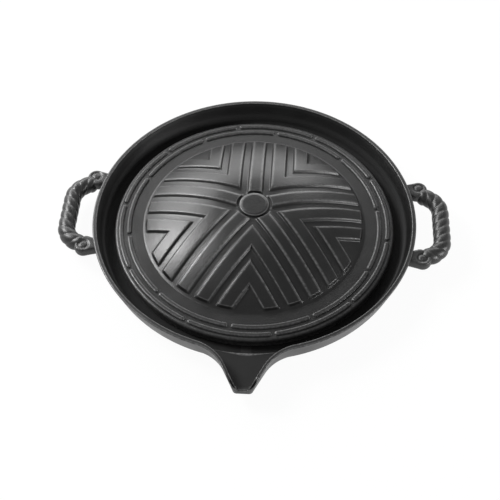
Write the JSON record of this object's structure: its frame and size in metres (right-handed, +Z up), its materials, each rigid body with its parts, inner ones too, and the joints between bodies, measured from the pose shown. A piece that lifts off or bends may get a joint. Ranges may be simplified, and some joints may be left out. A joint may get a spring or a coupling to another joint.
{
  "type": "grill pan",
  "caption": "Round grill pan: a ribbed domed plate that lifts off a drip pan with a fat moat, a beak-shaped pour spout and rope-twist side handles.",
  "frame": {"origin": "the pan's axis, on the surface that the pan stands on", "axes": "+Z up, -Y along the pour spout, +X towards the right-hand handle"},
  "size_m": [0.3646, 0.3313, 0.0411],
  "materials": {
    "pan_iron": "satin black coating over fine cast grain",
    "plate_iron": "satin black coating over fine cast grain"
  },
  "bodies": {
    "pan": {"drip_pan": "pan_iron", "left_handle": "pan_iron", "right_handle": "pan_iron"},
    "plate": {"grill_plate": "plate_iron"}
  },
  "joints": [
    {"name": "plate_lift", "type": "slide", "parent": "pan", "child": "plate", "axis": [0, 0, 1], "range_m": [0, 0.08]}
  ]
}
